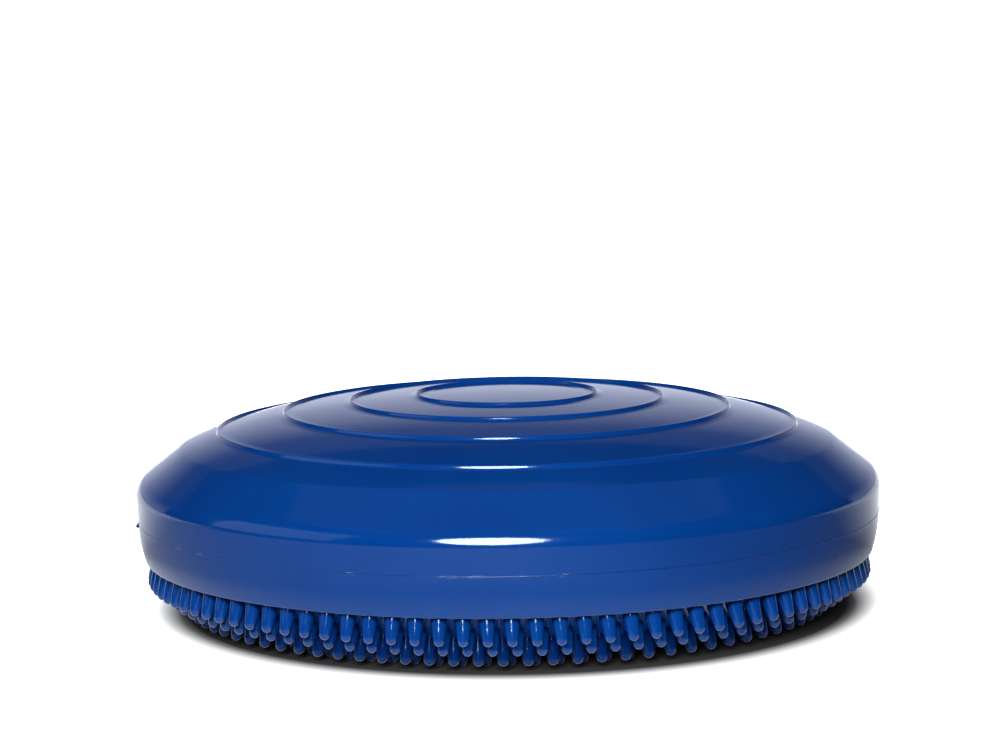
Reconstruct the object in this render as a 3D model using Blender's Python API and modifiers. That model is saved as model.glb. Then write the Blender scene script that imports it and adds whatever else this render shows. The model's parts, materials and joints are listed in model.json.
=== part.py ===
"""Inflatable balance cushion: a ribbed upper half and a spiked lower half in soft PVC,
welded round the rim, with a needle valve and its stopper in the rim.

Metres, +Z up. The origin is on the floor, under the centre of the cushion.
"""

import math

import bmesh
import bpy
from mathutils import Matrix

# Overall size
OUTER_RADIUS = 0.180
SEAM_HEIGHT = 0.047
SKIN = 0.003
GAP = 0.0003

# Upper half: a shallow crown, four raised rings, a sloping band and a rounded shoulder
CROWN_HEIGHT = 0.1039
CROWN_CURVATURE = 1 / 1.74
CROWN_EDGE_FALL = 88.0
CROWN_FLAT_RADIUS = 0.010
CREASE_RADIUS = 0.1584
FIRST_RIB_RADIUS = 0.0436
RIB_PITCH = 0.0322
RIB_COUNT = 4
RIB_HALF_WIDTH = 0.0012
RIB_HEIGHT = 0.0019
SLOPE_ANGLE = math.radians(37.7)
SHOULDER_FILLET = 0.010

# Wall of the rim, lower half, and the underside that it turns into
SEAM_RADIUS = 0.1797
WALL_FOOT_RADIUS = 0.1764
WALL_FOOT_HEIGHT = 0.0282
BAND_TOP_RADIUS = 0.1722
BAND_TOP_HEIGHT = 0.0272
BAND_FOOT_RADIUS = 0.1530
BAND_FOOT_HEIGHT = 0.0130
BASE_HEIGHT = 0.0114

# Spikes, from the rim to the middle: radius of the row at the feet, number in it, and degrees from
# the front to its first one. The base has fewer than the real cushion.
SPIKE_ROWS = (
    (0.1705, 102, 0.2),
    (0.1626, 96, 0.9),
    (0.1540, 90, -1.3),
    (0.1438, 42, 0.0),
    (0.0924, 27, 0.0),
    (0.0514, 15, 0.0),
    (0.0, 1, 0.0),
)
SPIKE_LENGTH = 0.0114
SPIKE_SUNK = 0.0015
SPIKE_FOOT_RADIUS = 0.0035
SPIKE_TIP_RADIUS = 0.0019
SPIKE_LEAN = math.radians(17.5)
FIRST_UPRIGHT_ROW = 3

# Weld round the rim: a web between the two halves with a bead on each side of it
WELD_HALF_GAP = 0.0006
WELD_WEB_HALF = 0.0003
WELD_BEAD_HALF = 0.00045
WELD_BEAD_PROUD = 0.0003
WELD_ROOT_HALF = 0.0010
WELD_ROOT_DEPTH = 0.0012

# Valve in the back of the rim, on an axis along +Y; lengths are Y coordinates
VALVE_HEIGHT = 0.0367
BOSS_RADIUS = 0.0090
BOSS_FACE = 0.1797
BOSS_BACK = 0.1680
SEAT_FACE = 0.1769
FLANGE_RADIUS = 0.0074
FLANGE_FACE = 0.1794
DISH_RADIUS = 0.0053
DISH_FLOOR = 0.1784
BARREL_RADIUS = 0.0046
BARREL_BACK = 0.1580
BARB_RADIUS = 0.0056
BARB_LENGTH = 0.0024
BORE_RADIUS = 0.0028
CORE_FRONT = 0.1670
CORE_BACK = 0.1586
CORE_CUP_RADIUS = 0.0017
CORE_CUP_DEPTH = 0.0020
DUCT_RADIUS = 0.0007
PLUG_HEAD_RADIUS = 0.0050
PLUG_HEAD_FACE = 0.1801
PLUG_STEM_RADIUS = 0.0025
PLUG_TIP = 0.1683
PLUG_TIP_RADIUS = 0.0012
PLUG_RIDGE_LENGTH = 0.0062
PLUG_RIDGE_WIDTH = 0.0014
PLUG_RIDGE_FACE = 0.1811

# Steps round the large and the small turned pieces
RIM_STEPS = 60
VALVE_STEPS = 24
SMOOTH_ANGLE = math.radians(30)

BLUE = (0.004, 0.080, 0.330)
WELD_BLUE = (0.010, 0.110, 0.380)
VALVE_BLUE = (0.004, 0.060, 0.240)
RUBBER_GREY = (0.060, 0.065, 0.075)
STOPPER_WHITE = (0.780, 0.790, 0.800)


def clear_scene():
    for item in list(bpy.data.objects):
        bpy.data.objects.remove(item, do_unlink=True)


def new_collection(name):
    collection = bpy.data.collections.new(name)
    bpy.context.scene.collection.children.link(collection)
    return collection


def plastic(name, colour, roughness):
    material = bpy.data.materials.new(name)
    material.use_nodes = True
    shader = material.node_tree.nodes["Principled BSDF"]
    shader.inputs["Base Color"].default_value = (*colour, 1.0)
    shader.inputs["Roughness"].default_value = roughness
    shader.inputs["Metallic"].default_value = 0.0
    return material


def add_object(name, mesh, collection, material=None):
    item = bpy.data.objects.new(name, mesh)
    collection.objects.link(item)
    if material:
        mesh.materials.append(material)
    return item


def arc(centre, radius, start, end, count):
    """Points from angle start to angle end, in radians, counted from the outward direction."""
    angles = [start + (end - start) * i / (count - 1) for i in range(count)]
    return [(centre[0] + radius * math.cos(a), centre[1] + radius * math.sin(a)) for a in angles]


def turned(name, outline, steps, collection, material=None, closed=False):
    """A solid turned about Z from an outline of (radius, height) that runs down its outer side."""
    mesh = bpy.data.meshes.new(name)
    points = [(radius, 0.0, height) for radius, height in outline]
    edges = [(i, i + 1) for i in range(len(points) - 1)]
    if closed:
        edges.append((len(points) - 1, 0))
    mesh.from_pydata(points, edges, [])
    item = add_object(name, mesh, collection, material)
    screw = item.modifiers.new("Turn", "SCREW")
    screw.steps = steps
    screw.render_steps = steps
    screw.use_merge_vertices = True
    screw.merge_threshold = 0.00001
    screw.use_smooth_shade = True
    return item


def combine(item, operand, operation):
    boolean = item.modifiers.new(operand.name, "BOOLEAN")
    boolean.operation = operation
    boolean.solver = "EXACT"
    boolean.object = operand


def as_tool(item):
    """Marks an object that only shapes another one."""
    item.hide_render = True
    item.display_type = "WIRE"
    return item


def lie_along_y(item, height):
    """Turns a piece's own +Z onto +Y and lifts it to the valve's axis."""
    item.rotation_euler = (-math.pi / 2, 0.0, 0.0)
    item.location = (0.0, 0.0, height)
    return item


def crown_height(radius):
    return CROWN_HEIGHT - CROWN_CURVATURE * radius**2 - CROWN_EDGE_FALL * radius**5


def rib_outline(radius):
    """The raised ring at this radius, from its inner foot to its outer foot."""
    crest = crown_height(radius) + RIB_HEIGHT
    shoulder = RIB_HALF_WIDTH * 0.55
    return [
        (radius - RIB_HALF_WIDTH, crown_height(radius - RIB_HALF_WIDTH)),
        (radius - shoulder, crest),
        (radius + shoulder, crest),
        (radius + RIB_HALF_WIDTH, crown_height(radius + RIB_HALF_WIDTH)),
    ]


def shoulder_outline():
    """The round that joins the sloping band to the upright wall, from the slope down."""
    corner_height = crown_height(CREASE_RADIUS) - (OUTER_RADIUS - CREASE_RADIUS) * math.tan(SLOPE_ANGLE)
    tangent = SHOULDER_FILLET * math.tan((math.pi / 2 - SLOPE_ANGLE) / 2)
    centre = (OUTER_RADIUS - SHOULDER_FILLET, corner_height - tangent)
    return arc(centre, SHOULDER_FILLET, math.pi / 2 - SLOPE_ANGLE, 0.0, 4)


def upper_shell(collection):
    outer = [(0.0, CROWN_HEIGHT), (CROWN_FLAT_RADIUS, CROWN_HEIGHT)]
    for i in range(RIB_COUNT):
        outer += rib_outline(FIRST_RIB_RADIUS + i * RIB_PITCH)
    outer += [(r, crown_height(r)) for r in (0.1500, CREASE_RADIUS)]
    outer += shoulder_outline()
    edge = SEAM_HEIGHT + WELD_HALF_GAP
    outer.append((SEAM_RADIUS, edge))
    inner = [(SEAM_RADIUS - SKIN, edge), (OUTER_RADIUS - SKIN, SEAM_HEIGHT + 0.0120)]
    inner += [(r - SKIN * 0.6, crown_height(r) - SKIN) for r in (CREASE_RADIUS, 0.1400, 0.1100, 0.0750)]
    inner += [(CROWN_FLAT_RADIUS, CROWN_HEIGHT - SKIN), (0.0, CROWN_HEIGHT - SKIN)]
    return turned("upper_shell", outer + inner, RIM_STEPS, collection, plastic("upper_skin", BLUE, 0.22))


def lower_outline():
    """The lower half's inside from the middle up to its edge, then its outside down to the base."""
    edge = SEAM_HEIGHT - WELD_HALF_GAP
    outer = [
        (SEAM_RADIUS, edge),
        (SEAM_RADIUS - 0.0003, edge - 0.0050),
        (SEAM_RADIUS - 0.0013, edge - 0.0120),
        (WALL_FOOT_RADIUS, WALL_FOOT_HEIGHT),
        (BAND_TOP_RADIUS, BAND_TOP_HEIGHT),
        (BAND_FOOT_RADIUS, BAND_FOOT_HEIGHT),
        (BAND_FOOT_RADIUS - 0.0040, BASE_HEIGHT),
        (0.0, BASE_HEIGHT),
    ]
    inner = [
        (0.0, BASE_HEIGHT + SKIN),
        (BAND_FOOT_RADIUS - 0.0025, BASE_HEIGHT + SKIN),
        (BAND_TOP_RADIUS - SKIN, BAND_TOP_HEIGHT + SKIN * 0.9),
        (SEAM_RADIUS - SKIN - 0.0013, edge - 0.0120),
        (SEAM_RADIUS - SKIN, edge),
    ]
    return inner + outer


def underside_height(radius):
    """Height of the underside's skin: a band that slopes in from the rim, then a level base."""
    if radius < BAND_FOOT_RADIUS:
        return BASE_HEIGHT
    share = (radius - BAND_FOOT_RADIUS) / (BAND_TOP_RADIUS - BAND_FOOT_RADIUS)
    return BAND_FOOT_HEIGHT + share * (BAND_TOP_HEIGHT - BAND_FOOT_HEIGHT)


def add_spike(mesh, radius, angle, lean, length):
    """One four-sided tapered spike with its foot sunk in the skin."""
    height = underside_height(radius)
    depth = length + SPIKE_SUNK
    upright = Matrix.Translation((0.0, 0.0, SPIKE_SUNK - depth / 2))
    tilt = Matrix.Rotation(-lean, 4, "Y")
    turn = Matrix.Rotation(angle, 4, "Z")
    place = Matrix.Translation((radius * math.cos(angle), radius * math.sin(angle), height))
    bmesh.ops.create_cone(
        mesh,
        cap_ends=True,
        segments=4,
        radius1=SPIKE_TIP_RADIUS,
        radius2=SPIKE_FOOT_RADIUS,
        depth=depth,
        matrix=place @ turn @ tilt @ upright,
    )


def spikes(collection):
    """All the spikes as one tool: leaning outwards on the sloping band, upright on the base."""
    builder = bmesh.new()
    for row, (radius, count, first) in enumerate(SPIKE_ROWS):
        leans = row < FIRST_UPRIGHT_ROW
        lean = SPIKE_LEAN if leans else 0.0
        length = SPIKE_LENGTH if leans else underside_height(radius)
        for i in range(count):
            angle = math.radians(first - 90) + 2 * math.pi * i / count
            add_spike(builder, radius, angle, lean, length)
    mesh = bpy.data.meshes.new("spikes")
    builder.to_mesh(mesh)
    builder.free()
    return as_tool(add_object("spikes", mesh, collection))


def valve_boss(collection):
    """The thick pad moulded on the wall that the valve sits in."""
    outline = [(0.0, BOSS_FACE), (BOSS_RADIUS, BOSS_FACE), (BOSS_RADIUS, BOSS_BACK), (0.0, BOSS_BACK)]
    return as_tool(lie_along_y(turned("boss", outline, VALVE_STEPS, collection), VALVE_HEIGHT))


def valve_hole(collection):
    """The counterbore for the valve's flange and the hole for its barrel."""
    seat = FLANGE_RADIUS + GAP
    hole = BARREL_RADIUS + GAP
    front = BOSS_FACE + 0.0050
    back = BOSS_BACK - 0.0050
    outline = [(0.0, front), (seat, front), (seat, SEAT_FACE), (hole, SEAT_FACE), (hole, back), (0.0, back)]
    return as_tool(lie_along_y(turned("hole", outline, VALVE_STEPS, collection), VALVE_HEIGHT))


def lower_shell(collection, tools):
    shell = turned("lower_shell", lower_outline(), RIM_STEPS, collection, plastic("lower_skin", BLUE, 0.22))
    combine(shell, spikes(tools), "UNION")
    combine(shell, valve_boss(tools), "UNION")
    combine(shell, valve_hole(tools), "DIFFERENCE")
    return shell


def weld_seam(collection):
    """The ring of fused PVC: an outer bead, a web between the halves and an inner bead."""
    bead = SEAM_RADIUS + WELD_BEAD_PROUD
    inside = SEAM_RADIUS - SKIN - GAP
    root = inside - WELD_ROOT_DEPTH
    upper = [
        (root, SEAM_HEIGHT + WELD_ROOT_HALF),
        (inside, SEAM_HEIGHT + WELD_ROOT_HALF),
        (inside, SEAM_HEIGHT + WELD_WEB_HALF),
        (SEAM_RADIUS, SEAM_HEIGHT + WELD_BEAD_HALF),
        (bead, SEAM_HEIGHT + WELD_BEAD_HALF / 2),
    ]
    lower = [(radius, 2 * SEAM_HEIGHT - height) for radius, height in reversed(upper)]
    outline = upper + lower
    return turned("weld_seam", outline, RIM_STEPS, collection, plastic("weld", WELD_BLUE, 0.30), closed=True)


def valve_body(collection):
    """The soft neck: a dished flange outside, a barrel through the wall and a barb behind it."""
    barb_front = BOSS_BACK - GAP
    outline = [
        (DISH_RADIUS, FLANGE_FACE),
        (FLANGE_RADIUS, FLANGE_FACE),
        (FLANGE_RADIUS, SEAT_FACE + GAP),
        (BARREL_RADIUS, SEAT_FACE + GAP),
        (BARREL_RADIUS, barb_front),
        (BARB_RADIUS, barb_front),
        (BARREL_RADIUS, barb_front - BARB_LENGTH),
        (BARREL_RADIUS, BARREL_BACK),
        (BORE_RADIUS, BARREL_BACK),
        (BORE_RADIUS, DISH_FLOOR),
        (DISH_RADIUS, DISH_FLOOR),
    ]
    skin = plastic("valve_pvc", VALVE_BLUE, 0.35)
    item = turned("valve_body", outline, VALVE_STEPS, collection, skin, closed=True)
    return lie_along_y(item, VALVE_HEIGHT)


def valve_core(collection):
    """The rubber seal in the neck: a cup that guides the needle to a fine duct right through it."""
    radius = BORE_RADIUS - GAP
    outline = [
        (CORE_CUP_RADIUS, CORE_FRONT),
        (radius, CORE_FRONT),
        (radius, CORE_BACK),
        (DUCT_RADIUS, CORE_BACK),
        (DUCT_RADIUS, CORE_FRONT - CORE_CUP_DEPTH),
    ]
    rubber = plastic("valve_rubber", RUBBER_GREY, 0.60)
    item = turned("valve_core", outline, VALVE_STEPS, collection, rubber, closed=True)
    return lie_along_y(item, VALVE_HEIGHT)


def plug_ridge(tools):
    """The bar across the stopper's head that a fingernail lifts."""
    bpy.ops.mesh.primitive_cube_add(size=1.0)
    ridge = bpy.context.active_object
    ridge.name = "plug_ridge"
    for collection in list(ridge.users_collection):
        collection.objects.unlink(ridge)
    tools.objects.link(ridge)
    depth = PLUG_RIDGE_FACE - PLUG_HEAD_FACE + GAP
    ridge.scale = (PLUG_RIDGE_LENGTH, depth, PLUG_RIDGE_WIDTH)
    ridge.location = (0.0, PLUG_RIDGE_FACE - depth / 2, VALVE_HEIGHT)
    return as_tool(ridge)


def valve_plug(collection, tools):
    """The stopper: a low head in the flange's dish and a tapered stem in the bore."""
    outline = [
        (0.0, PLUG_HEAD_FACE),
        (PLUG_HEAD_RADIUS - 0.0004, PLUG_HEAD_FACE),
        (PLUG_HEAD_RADIUS, PLUG_HEAD_FACE - 0.0004),
        (PLUG_HEAD_RADIUS, DISH_FLOOR + GAP),
        (PLUG_STEM_RADIUS, DISH_FLOOR + GAP),
        (PLUG_STEM_RADIUS, PLUG_TIP + 0.0020),
        (PLUG_TIP_RADIUS, PLUG_TIP),
        (0.0, PLUG_TIP),
    ]
    hard = plastic("stopper_plastic", STOPPER_WHITE, 0.40)
    item = lie_along_y(turned("valve_plug", outline, VALVE_STEPS, collection, hard), VALVE_HEIGHT)
    combine(item, plug_ridge(tools), "UNION")
    return item


def build():
    clear_scene()
    cushion = new_collection("balance_cushion")
    tools = new_collection("shaping_tools")
    upper_shell(cushion)
    lower_shell(cushion, tools)
    weld_seam(cushion)
    valve_body(cushion)
    valve_core(cushion)
    valve_plug(cushion, tools)


build()
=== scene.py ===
"""Looks of the inflatable balance cushion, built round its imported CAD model.

The CAD nodes give the places and the motion. Finer pieces stand for them here: the two skins of
the bladder, the line where they are welded, the spikes of the underside and the valve.
Metres, +Z up, with the front of the cushion towards -Y and its valve towards +Y.
"""

import json
import math

import bmesh
import bpy
from mathutils import Matrix, Vector, noise


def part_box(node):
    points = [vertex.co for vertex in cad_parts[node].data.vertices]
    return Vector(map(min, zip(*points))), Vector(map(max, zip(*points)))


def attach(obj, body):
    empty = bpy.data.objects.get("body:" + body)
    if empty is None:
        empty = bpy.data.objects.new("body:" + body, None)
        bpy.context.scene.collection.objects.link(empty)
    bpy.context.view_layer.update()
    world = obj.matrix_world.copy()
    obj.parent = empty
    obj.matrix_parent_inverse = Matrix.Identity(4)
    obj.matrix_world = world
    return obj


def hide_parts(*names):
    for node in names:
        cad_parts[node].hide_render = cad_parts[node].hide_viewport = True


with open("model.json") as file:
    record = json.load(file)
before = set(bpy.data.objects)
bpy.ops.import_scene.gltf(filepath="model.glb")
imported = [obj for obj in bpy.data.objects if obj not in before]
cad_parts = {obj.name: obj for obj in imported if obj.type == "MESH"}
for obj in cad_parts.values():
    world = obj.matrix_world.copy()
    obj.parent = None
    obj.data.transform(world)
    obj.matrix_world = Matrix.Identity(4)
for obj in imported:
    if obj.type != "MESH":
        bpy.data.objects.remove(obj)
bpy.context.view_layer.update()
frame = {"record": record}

# Places and sizes read from the frame
OUTER_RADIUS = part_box("upper_shell")[1][0]
SEAM_HEIGHT = (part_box("weld_seam")[0][2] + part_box("weld_seam")[1][2]) / 2
MOUNTS = {mount["name"]: mount for mount in frame["record"]["mounts"]}
CROWN_HEIGHT = MOUNTS["deck"]["pos_m"][2]
VALVE_HEIGHT = (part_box("valve_body")[0][2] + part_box("valve_body")[1][2]) / 2
FLANGE_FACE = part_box("valve_body")[1][1]
BARREL_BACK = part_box("valve_body")[0][1]
CORE_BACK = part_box("valve_core")[0][1]
CORE_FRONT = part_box("valve_core")[1][1]
PLUG_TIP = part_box("valve_plug")[0][1]
PLUG_RIDGE_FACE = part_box("valve_plug")[1][1]

# Upper half
SKIN = 0.003
CROWN_CURVATURE = 1 / 1.74
CROWN_EDGE_FALL = 88.0
CREASE_RADIUS = 0.1584
CREASE_ROUND = 0.0030
RIB_RADII = [0.0436 + 0.0322 * i for i in range(4)]
RIB_HALF_WIDTH = 0.0011
RIB_HEIGHT = 0.00145
SLOPE_ANGLE = math.radians(37.7)
SHOULDER_FILLET = 0.010
SEAM_RADIUS = 0.1797
SEAM_HALF_GAP = 0.00005
INNER_KNEE = 0.0120
RIPPLE = 0.00012

# Lower half
WALL_FOOT = (0.1766, 0.0280)
BAND_TOP = (0.1722, 0.0272)
BAND_FOOT = (0.1530, 0.0130)
BASE_HEIGHT = 0.0114

# Spikes: radius of the row at the feet, number in it, and degrees from the front to its first one.
# The rows on the sloping band lean outwards. Those on the base stand upright, six more to each row.
RIM_ROWS = [(0.1705, 102, 0.2), (0.1626, 96, 0.9), (0.1540, 90, -1.3)]
BASE_ROWS = 14
BASE_ROW_PITCH = 0.01027
SPIKE_LENGTH = 0.0114
SPIKE_LEAN = math.radians(19.0)
SPIKE_SIDE_LEAN = math.radians(2.5)
SPIKE_UNEVENNESS = math.radians(1.0)

# Side of a spike: radius and share of the length from the root, after two points sunk in the skin
SPIKE_FOOT = [(0.00375, -0.0020), (0.00370, -0.0004)]
SPIKE_SIDE = [(0.00362, 0.07), (0.00344, 0.18), (0.00318, 0.38), (0.00290, 0.60), (0.00260, 0.74)]

# Valve, on an axis along +Y
BOSS_RADIUS = 0.0090
BOSS_FACE = 0.1797
BOSS_BACK = 0.1680
SEAT_FACE = 0.1769
FLANGE_RADIUS = 0.0074
DISH_RADIUS = 0.0053
DISH_FLOOR = 0.1784
BARREL_RADIUS = 0.0046
BARB_RADIUS = 0.0056
BORE_RADIUS = 0.0028
PLUG_HEAD_RADIUS = 0.0050
PLUG_HEAD_FACE = 0.1801
PLUG_STEM_RADIUS = 0.0025
GAP = 0.0003

# Steps between two raised rings and round the turned pieces
CROWN_STEPS = 8
RIM_STEPS = 288
SEAM_STEPS = 576
VALVE_STEPS = 64

# Camera and its aim, solved from the rings and the rim
CAMERA_DISTANCE = 1.4165
CAMERA_ELEVATION = math.radians(9.49)
CAMERA_TARGET_HEIGHT = 0.050
CAMERA_YAW = math.radians(-0.12)
CAMERA_PITCH = math.radians(2.487)
CAMERA_ROLL = math.radians(0.94)
LENS = 104.18

# Colours, linear
BLUE = (0.0004, 0.0225, 0.124)
DEEP_BLUE = (0.0003, 0.0194, 0.112)
# Painted shade: the dark blue painted on the spikes at their roots and on the inner rows
PAINTED_ROOT_SHADE_BLUE = (0.0001, 0.0040, 0.030)
SPECULAR_BLUE = (0.72, 0.92, 1.0, 1.0)
SCUFF_WHITE = (0.30, 0.36, 0.46)
BLACK = (0.0, 0.0, 0.0)
WHITE = (1.0, 1.0, 1.0, 1.0)

# Scuffs on the weld: degrees from the front towards +X, height above the weld, reach
SEAM_MARKS = [
    (-57.0, 0.0, 0.0040),
    (-50.5, -0.0006, 0.0040),
    (-22.5, 0.0, 0.0030),
    (-8.5, 0.0, 0.0065),
    (-4.5, 0.0, 0.0040),
    (1.5, 0.0, 0.0030),
    (7.5, 0.0, 0.0030),
]

# Scrap of flash: degrees from the front towards +X, drop below the weld, half sizes outwards, along and up
FLASH_AZIMUTH = -83.0
FLASH_DROP = 0.0022
FLASH_SIZE = (0.0016, 0.0014, 0.0017)
FLASH_SAG = 0.0009

# Lights: name, degrees from the front towards +X, elevation, distance, width, height, power, shape.
# The rear fill only lights the back; it doesn't show in reflections.
LIGHTS = [
    ("key", -5.3, 27.0, 2.2, 1.14, 1.30, 122.0, "ELLIPSE"),
    ("overhead", 0.0, 90.0, 1.8, 2.4, 2.2, 1.5, "RECTANGLE"),
    ("left_card", -75.0, 22.0, 2.4, 2.0, 1.4, 6.0, "RECTANGLE"),
    ("rear_fill", 180.0, 20.0, 2.2, 2.0, 1.0, 36.0, "RECTANGLE"),
]
LIGHT_AIM_HEIGHT = 0.05

# Stage
FLOOR_RADIUS = 9.0
# Centre of the shadow painted on the floor, a little towards +X
SHADOW_CENTRE = (0.004, 0.0, 0.0)
BACKDROP_HALF_WIDTH = 3.6
BACKDROP_DISTANCE = 2.6
BACKDROP_TOP = 1.72


# ---------------------------------------------------------------- shapes

def arc(centre, radius, start, end, count):
    """Points from angle start to angle end, in radians, counted from the outward direction."""
    angles = [start + (end - start) * i / (count - 1) for i in range(count)]
    return [(centre[0] + radius * math.cos(a), centre[1] + radius * math.sin(a)) for a in angles]


def line(start, end, count):
    """Points from start up to, but not including, end."""
    return [
        (start[0] + (end[0] - start[0]) * i / count, start[1] + (end[1] - start[1]) * i / count)
        for i in range(count)
    ]


def smoothstep(low, high, value):
    share = min(max((value - low) / (high - low), 0.0), 1.0)
    return share * share * (3 - 2 * share)


def rounded(points, radius, steps=5):
    """The outline with each inner corner turned into a curve that starts radius away from it."""
    result = [points[0]]
    for before, corner, after in zip(points, points[1:], points[2:]):
        corner_vector = Vector(corner)
        to_before = Vector(before) - corner_vector
        to_after = Vector(after) - corner_vector
        reach = min(radius, to_before.length * 0.45, to_after.length * 0.45)
        start = corner_vector + to_before.normalized() * reach
        end = corner_vector + to_after.normalized() * reach
        for i in range(steps + 1):
            t = i / steps
            point = start * (1 - t) ** 2 + corner_vector * 2 * t * (1 - t) + end * t * t
            result.append((point.x, point.y))
    result.append(points[-1])
    return result


def linked(name, data):
    """A new object in the scene for a mesh, a light or a camera."""
    item = bpy.data.objects.new(name, data)
    bpy.context.scene.collection.objects.link(item)
    return item


def new_object(name, vertices, faces, smooth_angle=math.radians(40)):
    mesh = bpy.data.meshes.new(name)
    mesh.from_pydata(vertices, [], faces)
    mesh.update()
    mesh.shade_smooth()
    mesh.set_sharp_from_angle(angle=smooth_angle)
    return linked(name, mesh)


def turned(name, outline, steps, closed=False, shape=None):
    """A piece turned about Z. Outline points on the axis become one vertex. shape moves each point."""
    vertices = []
    rings = []
    for radius, height in outline:
        if radius < 1e-9:
            rings.append([len(vertices)])
            vertices.append((0.0, 0.0, height))
            continue
        ring = []
        for i in range(steps):
            angle = 2 * math.pi * i / steps
            r, z = shape(radius, height, angle) if shape else (radius, height)
            ring.append(len(vertices))
            vertices.append((r * math.cos(angle), r * math.sin(angle), z))
        rings.append(ring)
    faces = []
    pairs = list(zip(rings, rings[1:]))
    if closed:
        pairs.append((rings[-1], rings[0]))
    for upper, lower in pairs:
        for i in range(steps):
            j = (i + 1) % steps
            if len(upper) == 1:
                faces.append((upper[0], lower[i], lower[j]))
            elif len(lower) == 1:
                faces.append((upper[i], lower[0], upper[j]))
            else:
                faces.append((upper[i], lower[i], lower[j], upper[j]))
    return new_object(name, vertices, faces)


def lie_along_y(item):
    """Turns a piece's own +Z onto +Y and lifts it to the valve's axis, in its mesh."""
    lift = Matrix.Translation((0.0, 0.0, VALVE_HEIGHT))
    item.data.transform(lift @ Matrix.Rotation(-math.pi / 2, 4, "X"))
    return item


def smooth_after_boolean(item):
    item.data.shade_smooth()
    item.data.set_sharp_from_angle(angle=math.radians(35))
    return item


def boolean(item, tool, operation):
    """Cuts or joins with a tool and applies the result."""
    modifier = item.modifiers.new(tool.name, "BOOLEAN")
    modifier.operation = operation
    modifier.solver = "EXACT"
    modifier.object = tool
    depsgraph = bpy.context.evaluated_depsgraph_get()
    mesh = bpy.data.meshes.new_from_object(item.evaluated_get(depsgraph))
    item.modifiers.clear()
    item.data = mesh
    bpy.data.objects.remove(tool, do_unlink=True)
    return item


# ---------------------------------------------------------------- bladder

def crown_height(radius):
    return CROWN_HEIGHT - CROWN_CURVATURE * radius**2 - CROWN_EDGE_FALL * radius**5


def rib_outline(radius):
    """A low raised ring that flows into the crown on both sides."""
    points = []
    for i in range(17):
        across = i / 8 - 1
        place = radius + RIB_HALF_WIDTH * across
        points.append((place, crown_height(place) + RIB_HEIGHT * (1 + math.cos(math.pi * across)) / 2))
    return points


def shoulder_outline():
    corner_height = crown_height(CREASE_RADIUS) - (OUTER_RADIUS - CREASE_RADIUS) * math.tan(SLOPE_ANGLE)
    tangent = SHOULDER_FILLET * math.tan((math.pi / 2 - SLOPE_ANGLE) / 2)
    centre = (OUTER_RADIUS - SHOULDER_FILLET, corner_height - tangent)
    return arc(centre, SHOULDER_FILLET, math.pi / 2 - SLOPE_ANGLE, 0.0, 14)


def upper_outline():
    """From the middle of the crown down the outside to the weld, then back up the inside."""
    outer = [(0.0, CROWN_HEIGHT)]
    stops = [0.0] + RIB_RADII + [CREASE_RADIUS - CREASE_ROUND]
    for inner_stop, outer_stop in zip(stops, stops[1:]):
        start = inner_stop + (RIB_HALF_WIDTH if inner_stop else 0.0015)
        end = outer_stop - (RIB_HALF_WIDTH if outer_stop in RIB_RADII else 0.0)
        for i in range(1 if inner_stop else 0, CROWN_STEPS):
            radius = start + (end - start) * i / CROWN_STEPS
            outer.append((radius, crown_height(radius)))
        if outer_stop in RIB_RADII:
            outer += rib_outline(outer_stop)
    shoulder = shoulder_outline()
    crease = [
        (CREASE_RADIUS - CREASE_ROUND, crown_height(CREASE_RADIUS - CREASE_ROUND)),
        (CREASE_RADIUS, crown_height(CREASE_RADIUS)),
        (
            CREASE_RADIUS + CREASE_ROUND * math.cos(SLOPE_ANGLE),
            crown_height(CREASE_RADIUS) - CREASE_ROUND * math.sin(SLOPE_ANGLE),
        ),
    ]
    outer += rounded(crease, CREASE_ROUND, 6)[1:-1]
    outer += line(crease[-1], shoulder[0], 6)
    outer += shoulder
    edge = SEAM_HEIGHT + SEAM_HALF_GAP
    outer += line(shoulder[-1], (SEAM_RADIUS, edge), 6)[1:]
    outer.append((SEAM_RADIUS, edge))
    inner = [(SEAM_RADIUS - SKIN, edge), (OUTER_RADIUS - SKIN, SEAM_HEIGHT + INNER_KNEE)]
    inner_stops = (CREASE_RADIUS, 0.1400, 0.1100, 0.0750, 0.0300)
    inner += [(r - SKIN * 0.6, crown_height(r) - SKIN) for r in inner_stops]
    inner.append((0.0, CROWN_HEIGHT - SKIN))
    return outer + inner


def lower_outline():
    """From the middle of the inside out to the weld, then down the wall and in along the base."""
    top = SEAM_HEIGHT - SEAM_HALF_GAP
    inner = [
        (0.0, BASE_HEIGHT + SKIN),
        (BAND_FOOT[0] - 0.0025, BASE_HEIGHT + SKIN),
        (BAND_TOP[0] - SKIN, BAND_TOP[1] + SKIN * 0.9),
        (SEAM_RADIUS - SKIN - 0.0013, top - INNER_KNEE),
        (SEAM_RADIUS - SKIN, top),
    ]
    wall = []
    for i in range(14):
        share = i / 13
        height = top - share * (top - WALL_FOOT[1])
        wall.append((SEAM_RADIUS - (SEAM_RADIUS - WALL_FOOT[0]) * share**1.9, height))
    middle = ((BAND_TOP[0] + BAND_FOOT[0]) / 2, (BAND_TOP[1] + BAND_FOOT[1]) / 2)
    corner = [wall[-2], wall[-1], BAND_TOP, middle]
    foot = [middle, BAND_FOOT, (BAND_FOOT[0] - 0.0045, BASE_HEIGHT), (0.1300, BASE_HEIGHT)]
    outer = wall[:-2] + rounded(corner, 0.0009, 5)[:-1] + rounded(foot, 0.0020, 5)
    outer += [(r, BASE_HEIGHT) for r in (0.110, 0.070, 0.030)] + [(0.0, BASE_HEIGHT)]
    return inner + outer


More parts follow.
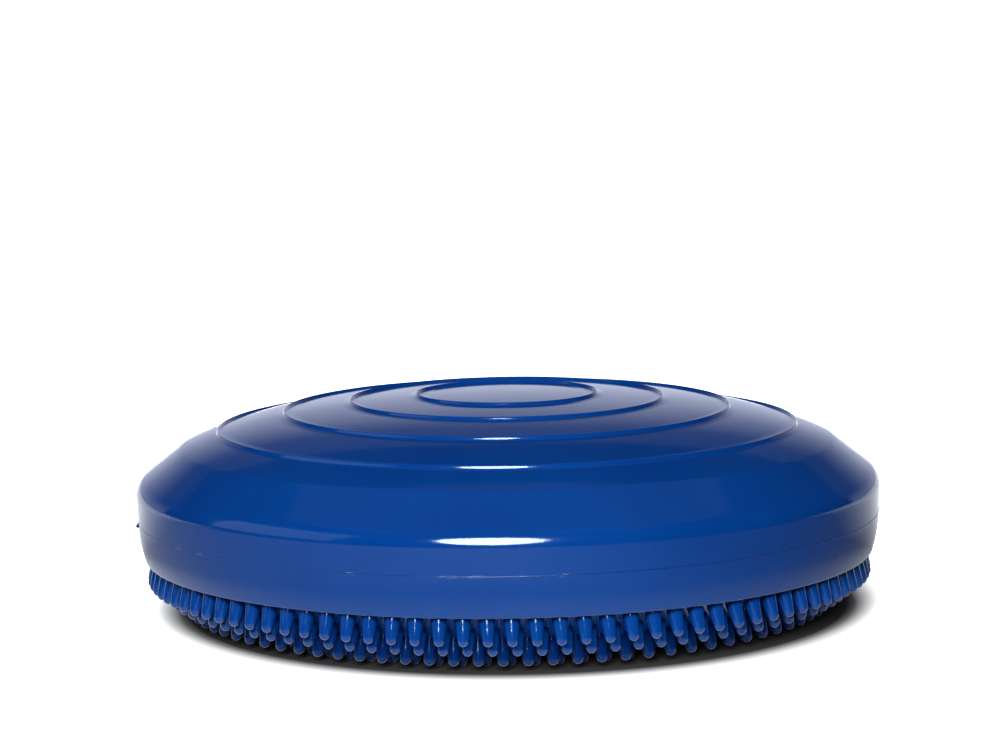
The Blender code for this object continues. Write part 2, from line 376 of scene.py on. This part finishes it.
def ripple(radius, height, angle):
    """The slight unevenness of a skin that was moulded soft, with none at the middle or near the weld."""
    place = Vector((radius * math.cos(angle), radius * math.sin(angle), height)) * 22.0
    room = smoothstep(0.0, 0.030, radius) * smoothstep(SEAM_HEIGHT + 0.006, SEAM_HEIGHT + 0.022, height)
    return radius, height + RIPPLE * (noise.noise(place) - 0.5) * room


def valve_boss():
    """The raised pad on the wall round the valve, with a skirt that flares into the wall."""
    flare = BOSS_RADIUS + 0.0022
    rim = [(BOSS_RADIUS, BOSS_FACE - 0.0014), (flare, BOSS_FACE - 0.0038)]
    face = rounded([(0.0, BOSS_FACE), (BOSS_RADIUS, BOSS_FACE), rim[0]], 0.0006, 5)
    skirt = rounded([face[-1], (BOSS_RADIUS + 0.0001, BOSS_FACE - 0.0034), rim[1]], 0.0022, 6)[1:]
    outline = face + skirt + [(flare, BOSS_BACK), (0.0, BOSS_BACK)]
    return lie_along_y(turned("boss", outline, VALVE_STEPS))


def valve_hole():
    seat = FLANGE_RADIUS + GAP
    hole = BARREL_RADIUS + GAP
    front = BOSS_FACE + 0.005
    back = BOSS_BACK - 0.005
    stepped = [(seat, front), (seat, SEAT_FACE), (hole, SEAT_FACE), (hole, back)]
    outline = [(0.0, front)] + stepped + [(0.0, back)]
    return lie_along_y(turned("hole", outline, VALVE_STEPS))


def upper_skin():
    return turned("upper_skin", upper_outline(), RIM_STEPS, shape=ripple)


def lower_skin():
    item = turned("lower_skin", lower_outline(), RIM_STEPS)
    boolean(item, valve_boss(), "UNION")
    boolean(item, valve_hole(), "DIFFERENCE")
    return smooth_after_boolean(item)


def weld_line():
    """The fine bead along the weld, which stands out more in some places than in others."""
    section = 7
    vertices = []
    for i in range(SEAM_STEPS):
        angle = 2 * math.pi * i / SEAM_STEPS
        around = Vector((math.cos(angle), math.sin(angle), 0.0))
        uneven = noise.noise(around * 9.0) * 0.5 + noise.noise(around * 60.0) * 0.25
        side = smoothstep(-0.25, 0.75, math.cos(angle))
        proud = 0.00010 + 0.00011 * side + 0.00006 * uneven
        half = 0.00022 + 0.00012 * side
        for k in range(section):
            turn = math.pi * k / (section - 1)
            radius = SEAM_RADIUS - 0.0002 + (proud + 0.0002) * math.sin(turn)
            vertices.append((around.x * radius, around.y * radius, SEAM_HEIGHT + half * math.cos(turn)))
        inside = SEAM_RADIUS - 0.0012
        vertices.append((around.x * inside, around.y * inside, SEAM_HEIGHT - half))
        vertices.append((around.x * inside, around.y * inside, SEAM_HEIGHT + half))
    ring = section + 2
    faces = []
    for i in range(SEAM_STEPS):
        j = (i + 1) % SEAM_STEPS
        for k in range(ring):
            m = (k + 1) % ring
            faces.append((i * ring + k, i * ring + m, j * ring + m, j * ring + k))
    return new_object("weld_line", vertices, faces)


def flash_tag():
    """A scrap of flash left on the weld at the left side when it was trimmed."""
    angle = math.radians(FLASH_AZIMUTH - 90)
    tag = bpy.data.meshes.new("flash_tag")
    builder = bmesh.new()
    bmesh.ops.create_icosphere(builder, subdivisions=3, radius=1.0)
    out, along, up = FLASH_SIZE
    for vertex in builder.verts:
        x, y, z = vertex.co
        outward = max(x, 0.0)
        thin = 1.0 - 0.55 * outward
        vertex.co = Vector((x * out, y * along * thin, z * up * thin - FLASH_SAG * outward))
    place = Vector((math.cos(angle), math.sin(angle), 0.0)) * (SEAM_RADIUS - 0.0003)
    move = Matrix.Translation((place.x, place.y, SEAM_HEIGHT - FLASH_DROP))
    builder.transform(move @ Matrix.Rotation(angle, 4, "Z"))
    builder.to_mesh(tag)
    builder.free()
    tag.shade_smooth()
    return linked("flash_tag", tag)


# ---------------------------------------------------------------- spikes

def spike_outline(length, rings):
    """A blunt bullet along +Z, from a foot sunk in the skin to a round tip."""
    tip_radius, share = SPIKE_SIDE[-1]
    start = length * share
    tip = []
    for i in range(1, rings):
        turn = math.pi / 2 * i / rings
        tip.append((tip_radius * math.cos(turn), start + (length - start) * math.sin(turn)))
    return SPIKE_FOOT + [(radius, length * share) for radius, share in SPIKE_SIDE] + tip


def add_spikes(vertices, faces, row, lean, side_lean, length, sides, rings):
    """Adds one row of spikes round the axis to the mesh lists."""
    radius, count, first = row
    outline = spike_outline(length, rings)
    height = underside_height(radius)
    for i in range(count):
        angle = math.radians(first - 90) + 2 * math.pi * i / count
        jitter = Vector((radius * math.cos(angle), radius * math.sin(angle), 0.0)) * 400.0
        uneven = SPIKE_UNEVENNESS if lean else 0.0
        tilt = lean + uneven * noise.noise(jitter)
        sway = side_lean + uneven * noise.noise(jitter * 1.7)
        place = (
            Matrix.Translation((radius * math.cos(angle), radius * math.sin(angle), height))
            @ Matrix.Rotation(angle, 4, "Z")
            @ Matrix.Rotation(sway, 4, "X")
            @ Matrix.Rotation(math.pi - tilt, 4, "Y")
        )
        base = len(vertices)
        for ring_radius, along in outline:
            for k in range(sides):
                turn = 2 * math.pi * k / sides
                point = Vector((ring_radius * math.cos(turn), ring_radius * math.sin(turn), along))
                vertices.append(place @ point)
        vertices.append(place @ Vector((0.0, 0.0, length)))
        vertices.append(place @ Vector((0.0, 0.0, outline[0][1])))
        tip = len(vertices) - 2
        foot = len(vertices) - 1
        rows = len(outline)
        for row_index in range(rows - 1):
            for k in range(sides):
                m = (k + 1) % sides
                low = base + row_index * sides
                high = low + sides
                faces.append((low + k, low + m, high + m, high + k))
        last = base + (rows - 1) * sides
        for k in range(sides):
            m = (k + 1) % sides
            faces.append((last + k, last + m, tip))
            faces.append((base + m, base + k, foot))


def underside_height(radius):
    if radius < BAND_FOOT[0]:
        return BASE_HEIGHT
    share = (radius - BAND_FOOT[0]) / (BAND_TOP[0] - BAND_FOOT[0])
    return BAND_FOOT[1] + share * (BAND_TOP[1] - BAND_FOOT[1])


def rim_spikes():
    vertices = []
    faces = []
    for row in RIM_ROWS:
        add_spikes(vertices, faces, row, SPIKE_LEAN, SPIKE_SIDE_LEAN, SPIKE_LENGTH, 18, 6)
    return new_object("rim_spikes", vertices, faces, math.radians(60))


def base_spikes():
    vertices = []
    faces = []
    for ring in range(BASE_ROWS, 0, -1):
        row = (ring * BASE_ROW_PITCH, 6 * ring, 0.0)
        add_spikes(vertices, faces, row, 0.0, 0.0, BASE_HEIGHT, 10, 4)
    add_spikes(vertices, faces, (0.0, 1, 0.0), 0.0, 0.0, BASE_HEIGHT, 10, 4)
    return new_object("base_spikes", vertices, faces, math.radians(60))


# ---------------------------------------------------------------- valve

def valve_neck():
    barb_front = BOSS_BACK - GAP
    outline = [
        (BORE_RADIUS + 0.0002, DISH_FLOOR),
        (DISH_RADIUS, DISH_FLOOR),
        (DISH_RADIUS, FLANGE_FACE),
        (FLANGE_RADIUS, FLANGE_FACE),
        (FLANGE_RADIUS, SEAT_FACE + GAP),
        (BARREL_RADIUS, SEAT_FACE + GAP),
        (BARREL_RADIUS, barb_front),
        (BARB_RADIUS, barb_front),
        (BARREL_RADIUS, barb_front - 0.0024),
        (BARREL_RADIUS, BARREL_BACK),
        (BORE_RADIUS, BARREL_BACK),
        (BORE_RADIUS, DISH_FLOOR - 0.0002),
    ]
    return lie_along_y(turned("valve_neck", rounded(outline, 0.0005, 4), VALVE_STEPS, closed=True))


def valve_seal():
    outer = BORE_RADIUS - GAP
    outline = [
        (0.0017, CORE_FRONT),
        (outer, CORE_FRONT),
        (outer, CORE_BACK),
        (0.0007, CORE_BACK),
        (0.0007, CORE_FRONT - 0.0020),
    ]
    return lie_along_y(turned("valve_seal", rounded(outline, 0.0003, 3), VALVE_STEPS, closed=True))


def stopper():
    outline = [
        (0.0, PLUG_HEAD_FACE),
        (PLUG_HEAD_RADIUS, PLUG_HEAD_FACE),
        (PLUG_HEAD_RADIUS, DISH_FLOOR + GAP),
        (PLUG_STEM_RADIUS, DISH_FLOOR + GAP),
        (PLUG_STEM_RADIUS, PLUG_TIP + 0.0020),
        (0.0012, PLUG_TIP),
        (0.0, PLUG_TIP),
    ]
    item = lie_along_y(turned("stopper", rounded(outline, 0.0004, 4), VALVE_STEPS))
    builder = bmesh.new()
    bmesh.ops.create_cube(builder, size=1.0)
    depth = PLUG_RIDGE_FACE - PLUG_HEAD_FACE + 0.0006
    bmesh.ops.scale(builder, vec=(0.0062, depth, 0.0014), verts=builder.verts)
    middle = (0.0, PLUG_RIDGE_FACE - depth / 2, VALVE_HEIGHT)
    bmesh.ops.translate(builder, vec=middle, verts=builder.verts)
    bmesh.ops.bevel(
        builder, geom=builder.edges[:], offset=0.00035, segments=4, affect="EDGES", profile=0.5
    )
    mesh = bpy.data.meshes.new("ridge")
    builder.to_mesh(mesh)
    builder.free()
    boolean(item, linked("ridge", mesh), "UNION")
    return smooth_after_boolean(item)


# ---------------------------------------------------------------- materials

class Nodes:
    """A material's node tree with short calls for making and joining its nodes."""

    def __init__(self, name):
        self.material = bpy.data.materials.new(name)
        self.material.use_nodes = True
        self.tree = self.material.node_tree
        self.shader = self.tree.nodes["Principled BSDF"]

    def add(self, kind, **settings):
        node = self.tree.nodes.new(kind)
        for key, value in settings.items():
            setattr(node, key, value)
        return node

    def join(self, source, target):
        self.tree.links.new(source, target)

    def place(self):
        return self.add("ShaderNodeTexCoord").outputs["Object"]

    def noise(self, scale, detail=3.0, roughness=0.5):
        node = self.add("ShaderNodeTexNoise")
        node.inputs["Scale"].default_value = scale
        node.inputs["Detail"].default_value = detail
        node.inputs["Roughness"].default_value = roughness
        self.join(self.place(), node.inputs["Vector"])
        return node.outputs["Fac"]

    def spread(self, value, low, high, to_low, to_high):
        node = self.add("ShaderNodeMapRange")
        node.inputs["From Min"].default_value = low
        node.inputs["From Max"].default_value = high
        node.inputs["To Min"].default_value = to_low
        node.inputs["To Max"].default_value = to_high
        self.join(value, node.inputs["Value"])
        return node.outputs["Result"]

    def blend(self, share, first, second):
        """A colour between two; each is a colour or a socket."""
        node = self.add("ShaderNodeMix", data_type="RGBA")
        self.join(share, node.inputs["Factor"])
        for value, socket in ((first, node.inputs[6]), (second, node.inputs[7])):
            if isinstance(value, tuple):
                socket.default_value = (*value, 1.0)
            else:
                self.join(value, socket)
        return node.outputs[2]

    def calculate(self, operation, first, second):
        node = self.add("ShaderNodeMath", operation=operation)
        for value, socket in ((first, node.inputs[0]), (second, node.inputs[1])):
            if isinstance(value, (int, float)):
                socket.default_value = value
            else:
                self.join(value, socket)
        return node.outputs[0]

    def split(self):
        """The X, Y and Z of a place on the piece, as an XYZ node's outputs."""
        node = self.add("ShaderNodeSeparateXYZ")
        self.join(self.place(), node.inputs["Vector"])
        return node.outputs

    def distance(self, centre=(0.0, 0.0, 0.0)):
        node = self.add("ShaderNodeVectorMath", operation="DISTANCE")
        self.join(self.place(), node.inputs[0])
        node.inputs[1].default_value = centre
        return node.outputs["Value"]

    def glow(self, strength, colour):
        self.shader.inputs["Emission Color"].default_value = colour
        self.join(strength, self.shader.inputs["Emission Strength"])

    def bump(self, height, distance):
        node = self.add("ShaderNodeBump")
        node.inputs["Strength"].default_value = 1.0
        node.inputs["Distance"].default_value = distance
        self.join(height, node.inputs["Height"])
        self.join(node.outputs["Normal"], self.shader.inputs["Normal"])


def rim_point(azimuth, height):
    """A point on the wall, by its angle in degrees from the front towards +X."""
    angle = math.radians(azimuth)
    return (SEAM_RADIUS * math.sin(angle), -SEAM_RADIUS * math.cos(angle), height)


def scuff_mask(nodes):
    """Where the weld was rubbed: fine scratches along the rim, inside the marked spots."""
    total = None
    for azimuth, above, size in SEAM_MARKS:
        distance = nodes.distance(rim_point(azimuth, SEAM_HEIGHT + above))
        spot = nodes.spread(distance, size * 0.4, size, 1.0, 0.0)
        total = spot if total is None else nodes.calculate("MAXIMUM", total, spot)
    stretched = nodes.add("ShaderNodeVectorMath", operation="MULTIPLY")
    nodes.join(nodes.place(), stretched.inputs[0])
    stretched.inputs[1].default_value = (260.0, 260.0, 3200.0)
    streaks = nodes.add("ShaderNodeTexNoise")
    streaks.inputs["Scale"].default_value = 1.0
    streaks.inputs["Detail"].default_value = 3.0
    nodes.join(stretched.outputs["Vector"], streaks.inputs["Vector"])
    worn = nodes.spread(streaks.outputs["Fac"], 0.52, 0.66, 0.0, 1.0)
    above = nodes.calculate("SUBTRACT", nodes.split()["Z"], SEAM_HEIGHT)
    near = nodes.spread(nodes.calculate("ABSOLUTE", above, 0.0), 0.0001, 0.0010, 0.8, 0.0)
    return nodes.calculate("MULTIPLY", nodes.calculate("MULTIPLY", total, worn), near)


def painted_root_shade_mask(nodes):
    """Share of the spikes' full blue and shine, the rest being painted shade: full on the open lower part
    of the outer spikes, less on the inner rows and close to the roots.
    """
    away = nodes.distance()
    outward = nodes.spread(away, 0.158, 0.169, 0.30, 1.0)
    slope = (BAND_TOP[1] - BAND_FOOT[1]) / (BAND_TOP[0] - BAND_FOOT[0])
    band = nodes.calculate("MULTIPLY", nodes.calculate("SUBTRACT", away, BAND_FOOT[0]), slope)
    height = nodes.calculate("SUBTRACT", nodes.split()["Z"], BAND_FOOT[1])
    below = nodes.calculate("SUBTRACT", height, band)
    return nodes.calculate("MULTIPLY", outward, nodes.spread(below, -0.0042, -0.0028, 1.0, 0.15))


def soft_pvc(name, scuffed=False, painted_root_shade=False):
    """Glossy moulded PVC: an almost even blue, faintly cloudy, with hazy patches and a fine orange peel.

    With painted root shade it is for the spikes: shade is painted on them as a darker blue and a weaker
    shine at their roots and inwards, on the inner rows.
    """
    nodes = Nodes(name)
    cloud = nodes.noise(16.0, 4.0, 0.55)
    colour = nodes.blend(nodes.spread(cloud, 0.35, 0.65, 0.0, 1.0), DEEP_BLUE, BLUE)
    haze = nodes.noise(55.0, 6.0, 0.6)
    roughness = nodes.spread(haze, 0.3, 0.7, 0.07, 0.12)
    if scuffed:
        mask = scuff_mask(nodes)
        colour = nodes.blend(nodes.calculate("MULTIPLY", mask, 0.60), colour, SCUFF_WHITE)
        roughness = nodes.calculate("ADD", roughness, nodes.calculate("MULTIPLY", mask, 0.35))
    if painted_root_shade:
        # Painted shade: a darker blue and a lower specular level at the spikes' roots and on the inner rows
        mask = painted_root_shade_mask(nodes)
        colour = nodes.blend(mask, PAINTED_ROOT_SHADE_BLUE, colour)
        nodes.join(nodes.calculate("MULTIPLY", mask, 0.5), nodes.shader.inputs["Specular IOR Level"])
    nodes.join(colour, nodes.shader.inputs["Base Color"])
    nodes.join(roughness, nodes.shader.inputs["Roughness"])
    nodes.shader.inputs["IOR"].default_value = 1.5
    nodes.shader.inputs["Specular Tint"].default_value = SPECULAR_BLUE
    nodes.bump(nodes.noise(420.0, 2.0, 0.5), 0.00002)
    return nodes.material


def plain_plastic(name, colours, roughness, grain, depth, tint=WHITE):
    """A moulded plastic or rubber: two close colours in soft patches, a roughness range and a grain."""
    nodes = Nodes(name)
    patches = nodes.spread(nodes.noise(180.0, 4.0), 0.35, 0.65, 0.0, 1.0)
    nodes.join(nodes.blend(patches, *colours), nodes.shader.inputs["Base Color"])
    shine = nodes.spread(nodes.noise(600.0, 3.0), 0.3, 0.7, *roughness)
    nodes.join(shine, nodes.shader.inputs["Roughness"])
    nodes.bump(nodes.noise(grain, 3.0), depth)
    nodes.shader.inputs["Specular Tint"].default_value = tint
    return nodes.material


def dress(item, material, body, nodes):
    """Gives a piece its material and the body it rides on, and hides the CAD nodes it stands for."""
    item.data.materials.clear()
    item.data.materials.append(material)
    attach(item, body)
    if nodes:
        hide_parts(*nodes)


# ---------------------------------------------------------------- stage

def aim_camera():
    """A camera on its orbit, turned by small angles about its own axes to frame the cushion."""
    target = Vector((0.0, 0.0, CAMERA_TARGET_HEIGHT))
    away = Vector((0.0, -math.cos(CAMERA_ELEVATION), math.sin(CAMERA_ELEVATION)))
    forward = -away
    right = Vector((1.0, 0.0, 0.0))
    up = right.cross(forward)
    pitch = Matrix.Rotation(CAMERA_PITCH, 3, right)
    forward, up = pitch @ forward, pitch @ up
    yaw = Matrix.Rotation(-CAMERA_YAW, 3, up)
    forward, right = yaw @ forward, yaw @ right
    roll = Matrix.Rotation(CAMERA_ROLL, 3, forward)
    right, up = roll @ right, roll @ up
    data = bpy.data.cameras.new("camera")
    data.lens = LENS
    data.sensor_width = 36.0
    data.clip_start = 0.01
    camera = linked("camera", data)
    turn = Matrix((right, up, -forward)).transposed().to_4x4()
    camera.matrix_world = Matrix.Translation(target + away * CAMERA_DISTANCE) @ turn
    bpy.context.scene.camera = camera


def softbox(name, azimuth, elevation, distance, width, height, power, shape):
    """A flat light that faces the cushion, by its direction in degrees from the front towards +X."""
    az = math.radians(azimuth)
    el = math.radians(elevation)
    away = Vector((math.sin(az) * math.cos(el), -math.cos(az) * math.cos(el), math.sin(el)))
    data = bpy.data.lights.new(name, "AREA")
    data.shape = shape
    data.size = width
    data.size_y = height
    data.energy = power
    light = linked(name, data)
    light.location = Vector((0.0, 0.0, LIGHT_AIM_HEIGHT)) + away * distance
    light.rotation_euler = away.to_track_quat("Z", "Y").to_euler()
    return light


def floor_material():
    """To the camera: white paper, glowing away from the cushion and dark only under it, where a shadow is
    painted. In the cushion's reflections: greyer, lightest near the cushion and behind it, with painted
    shade to the right and farther out.
    """
    nodes = Nodes("pale_floor_painted_shadow")
    shade = nodes.spread(nodes.noise(1.5, 2.0), 0.3, 0.7, 0.0, 1.0)
    paper = nodes.blend(shade, (0.93, 0.93, 0.935), (0.95, 0.95, 0.95))
    split = nodes.split()
    away = nodes.distance(SHADOW_CENTRE)
    camera = nodes.add("ShaderNodeLightPath").outputs["Is Camera Ray"]

    # Painted shade in the colour the cushion sees reflected: lightest near the cushion and behind it,
    # darker to the right and farther out
    ring = nodes.spread(away, 0.18, 0.25, 1.0, 0.34)
    right = nodes.spread(split["X"], 0.02, 0.30, 1.0, 0.40)
    outside = nodes.spread(away, 0.55, 0.90, 1.0, 0.05)
    front = nodes.calculate("MULTIPLY", nodes.calculate("MULTIPLY", ring, right), outside)
    rear = nodes.spread(split["Y"], 0.0, 0.25, 0.0, 1.0)
    reflected_colour_painted_shade = nodes.blend(nodes.calculate("MAXIMUM", front, rear), BLACK, (0.88, 0.91, 0.98))
    # Painted shadow: to the camera the floor is painted dark under the cushion
    painted_shadow_paper = nodes.blend(nodes.spread(away, 0.160, 0.180, 0.03, 1.0), BLACK, paper)
    nodes.join(nodes.blend(camera, reflected_colour_painted_shade, painted_shadow_paper), nodes.shader.inputs["Base Color"])
    nodes.shader.inputs["Roughness"].default_value = 0.9
    nodes.shader.inputs["Specular IOR Level"].default_value = 0.1

    # Painted light: to the camera the floor glows beyond the painted shadow, and more far away, so that it
    # shows white
    near = nodes.spread(away, 0.164, 0.190, 0.0, 0.9)
    far = nodes.spread(away, 0.8, 2.0, 0.0, 0.6)
    nodes.glow(nodes.calculate("MULTIPLY", nodes.calculate("ADD", near, far), camera), WHITE)
    return nodes.material


def floor():
    mesh = bpy.data.meshes.new("floor")
    builder = bmesh.new()
    bmesh.ops.create_circle(builder, cap_ends=True, segments=96, radius=FLOOR_RADIUS)
    builder.to_mesh(mesh)
    builder.free()
    mesh.materials.append(floor_material())
    linked("floor", mesh)


def backdrop():
    """A pale sweep, seen only in the cushion's reflections, brightest low down and in the middle."""
    mesh = bpy.data.meshes.new("backdrop")
    half, distance, top = BACKDROP_HALF_WIDTH, BACKDROP_DISTANCE, BACKDROP_TOP
    corners = [(-half, distance, 0.0), (half, distance, 0.0), (half, distance, top), (-half, distance, top)]
    mesh.from_pydata(corners, [], [(0, 1, 2, 3)])
    nodes = Nodes("backdrop_white")
    split = nodes.split()
    fall = nodes.spread(split["Z"], 0.30, 1.25, 0.95, 0.12)
    sides = nodes.spread(nodes.calculate("ABSOLUTE", split["X"], 0.0), 0.3, 2.4, 1.0, 0.55)
    nodes.shader.inputs["Base Color"].default_value = (*BLACK, 1.0)
    nodes.glow(nodes.calculate("MULTIPLY", fall, sides), (0.74, 0.79, 1.0, 1.0))
    mesh.materials.append(nodes.material)
    item = linked("backdrop", mesh)
    item.visible_camera = False
    item.visible_shadow = False


def studio_world():
    """White to the camera and a dark room to everything else."""
    world = bpy.data.worlds.new("studio")
    world.use_nodes = True
    bpy.context.scene.world = world
    tree = world.node_tree
    room = tree.nodes["Background"]
    room.inputs["Color"].default_value = (0.9, 0.95, 1.0, 1.0)
    room.inputs["Strength"].default_value = 0.02
    white = tree.nodes.new("ShaderNodeBackground")
    white.inputs["Color"].default_value = WHITE
    white.inputs["Strength"].default_value = 1.0
    path = tree.nodes.new("ShaderNodeLightPath")
    mix = tree.nodes.new("ShaderNodeMixShader")
    tree.links.new(path.outputs["Is Camera Ray"], mix.inputs["Fac"])
    tree.links.new(room.outputs["Background"], mix.inputs[1])
    tree.links.new(white.outputs["Background"], mix.inputs[2])
    tree.links.new(mix.outputs["Shader"], tree.nodes["World Output"].inputs["Surface"])


def stage():
    bpy.context.scene.view_settings.view_transform = "Standard"
    aim_camera()
    floor()
    backdrop()
    studio_world()
    for settings in LIGHTS:
        light = softbox(*settings)
        light.visible_glossy = light.name != "rear_fill"


# ---------------------------------------------------------------- the model

def cushion():
    # The spikes' material has shade painted at their roots and on the inner rows
    spike_pvc = soft_pvc("blue_pvc_spikes_painted_shade", painted_root_shade=True)
    skin_pvc = soft_pvc("blue_pvc_scuffed", scuffed=True)
    upper = upper_skin()
    lower = lower_skin()
    dress(upper, skin_pvc, "cushion", ["upper_shell"])
    dress(lower, skin_pvc, "cushion", ["lower_shell"])
    dress(rim_spikes(), spike_pvc, "cushion", ["lower_shell"])
    dress(base_spikes(), spike_pvc, "cushion", ["lower_shell"])
    blues = ((0.0002, 0.0110, 0.070), (0.0004, 0.0150, 0.090))
    weld = plain_plastic("weld_pvc", blues, (0.16, 0.26), 900.0, 0.00002, SPECULAR_BLUE)
    dress(weld_line(), weld, "cushion", ["weld_seam"])
    dress(flash_tag(), skin_pvc, "cushion", [])


def valve():
    blues = ((0.0004, 0.012, 0.095), (0.0005, 0.015, 0.115))
    greys = ((0.020, 0.021, 0.024), (0.030, 0.032, 0.035))
    whites = ((0.42, 0.43, 0.44), (0.47, 0.48, 0.49))
    neck = plain_plastic("neck_pvc", blues, (0.28, 0.40), 900.0, 0.00002)
    rubber = plain_plastic("seal_rubber", greys, (0.5, 0.7), 1400.0, 0.00003)
    white = plain_plastic("stopper_white", whites, (0.30, 0.45), 1100.0, 0.00002)
    dress(valve_neck(), neck, "cushion", ["valve_body"])
    dress(valve_seal(), rubber, "cushion", ["valve_core"])
    dress(stopper(), white, "stopper", ["valve_plug"])


stage()
cushion()
valve()
